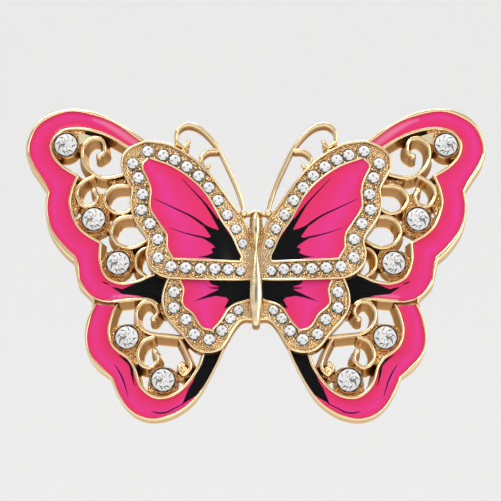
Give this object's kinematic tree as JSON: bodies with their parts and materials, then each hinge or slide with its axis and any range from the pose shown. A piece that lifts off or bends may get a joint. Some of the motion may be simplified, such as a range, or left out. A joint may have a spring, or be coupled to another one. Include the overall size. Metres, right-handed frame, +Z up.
{
  "type": "butterfly brooch",
  "caption": "Butterfly brooch with two openwork wing tiers, enamel fills and set crystals, and a hinged back pin with a turning safety catch.",
  "frame": {"origin": "middle of the brooch's width on its flat back plane, at the height of the wings' middle in the picture", "axes": "+X to the viewer's right, +Z up as worn, front facing -Y"},
  "size_m": [0.058, 0.0117, 0.0401],
  "materials": {
    "gold_plate": "polished gold plate over cast metal",
    "pin_wire": "drawn and plated wire",
    "enamel": "glossy pink enamel with black painted shading",
    "crystal": "clear cut crystal"
  },
  "bodies": {
    "brooch": {"body_spindle": "gold_plate", "catch_housing": "gold_plate", "crystal_forewing_lower_left": "crystal", "crystal_forewing_lower_right": "crystal", "crystal_forewing_middle_left": "crystal", "crystal_forewing_middle_right": "crystal", "crystal_forewing_tip_left": "crystal", "crystal_forewing_tip_right": "crystal", "crystal_hindwing_lower_left": "crystal", "crystal_hindwing_lower_right": "crystal", "crystal_hindwing_outer_left": "crystal", "crystal_hindwing_outer_right": "crystal", "hinge_rivet": "pin_wire", "lower_forewing_enamel_left": "enamel", "lower_forewing_enamel_right": "enamel", "lower_hindwing_enamel_left": "enamel", "lower_hindwing_enamel_right": "enamel", "lower_wing_casting": "gold_plate", "pave_fore_lower_left": "crystal", "pave_fore_lower_right": "crystal", "pave_fore_outer_left": "crystal", "pave_fore_outer_right": "crystal", "pave_fore_upper_left": "crystal", "pave_fore_upper_right": "crystal", "pave_hind_left": "crystal", "pave_hind_right": "crystal", "pin_joint": "gold_plate", "upper_forewing_enamel_left": "enamel", "upper_forewing_enamel_right": "enamel", "upper_hindwing_enamel_left": "enamel", "upper_hindwing_enamel_right": "enamel", "upper_wing_casting": "gold_plate"},
    "pin": {"pin_stem": "pin_wire"},
    "rotor": {"catch_rotor": "gold_plate"}
  },
  "joints": [
    {"name": "pin_swing", "type": "hinge", "parent": "brooch", "child": "pin", "pos_m": [-0.0115, 0.00485, 0.0015], "axis": [0, 0, 1], "range_deg": [0, 80]},
    {"name": "catch_turn", "type": "hinge", "parent": "brooch", "child": "rotor", "pos_m": [0.01125, 0.00485, 0.0015], "axis": [1, 0, 0], "range_deg": [0, 110]}
  ]
}
